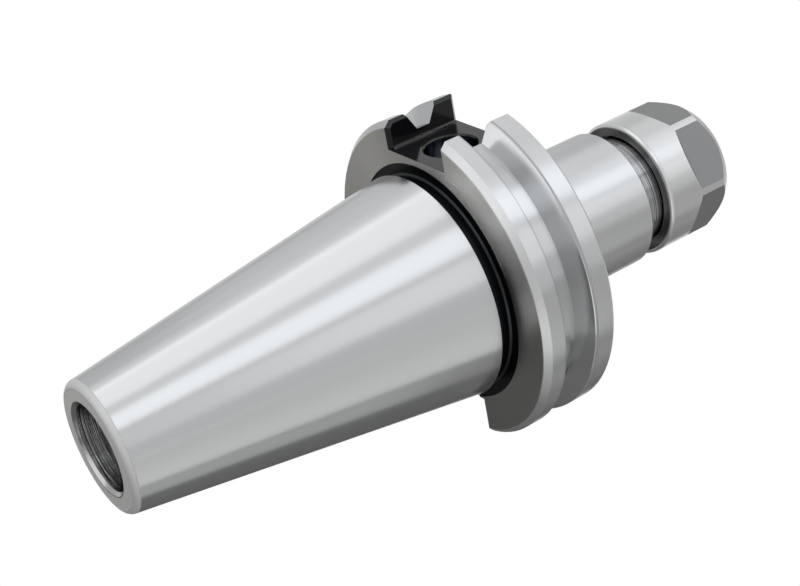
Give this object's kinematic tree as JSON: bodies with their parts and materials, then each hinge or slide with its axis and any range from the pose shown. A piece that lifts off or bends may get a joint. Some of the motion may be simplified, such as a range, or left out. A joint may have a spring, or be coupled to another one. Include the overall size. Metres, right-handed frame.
{
  "type": "collet chuck holder",
  "caption": "Steep-taper collet chuck holder: ground cone, grooved flange with drive slots, slim nose, and a hex clamping nut over a slotted spring collet.",
  "frame": {"origin": "centre of the gauge circle of the steep taper, on the holder's axis", "axes": "+X along the axis of rotation, the way the tool points; +Z out through the shallower drive slot, the one with the round tag seat"},
  "size_m": [0.1364, 0.0636, 0.061],
  "materials": {
    "ground_steel": "fine ground steel; relief behind the cone and drive slots left black",
    "collet_steel": "ground spring steel",
    "nut_steel": "satin turned steel with duller milled flats"
  },
  "bodies": {
    "holder": {"holder_body": "ground_steel"},
    "collet": {"collet": "collet_steel"},
    "nut": {"clamping_nut": "nut_steel"}
  },
  "joints": [
    {"name": "collet_slide", "type": "slide", "parent": "holder", "child": "collet", "axis": [1, 0, 0], "range_m": [0, 0.00676]},
    {"name": "nut_turn", "type": "hinge", "parent": "collet", "child": "nut", "pos_m": [0.059, 0, 0], "axis": [1, 0, 0], "range_deg": [0, 1620]}
  ],
  "couplings": [
    {"joint": "collet_slide", "follows": "nut_turn", "m_per_rad": 0.00023873}
  ]
}
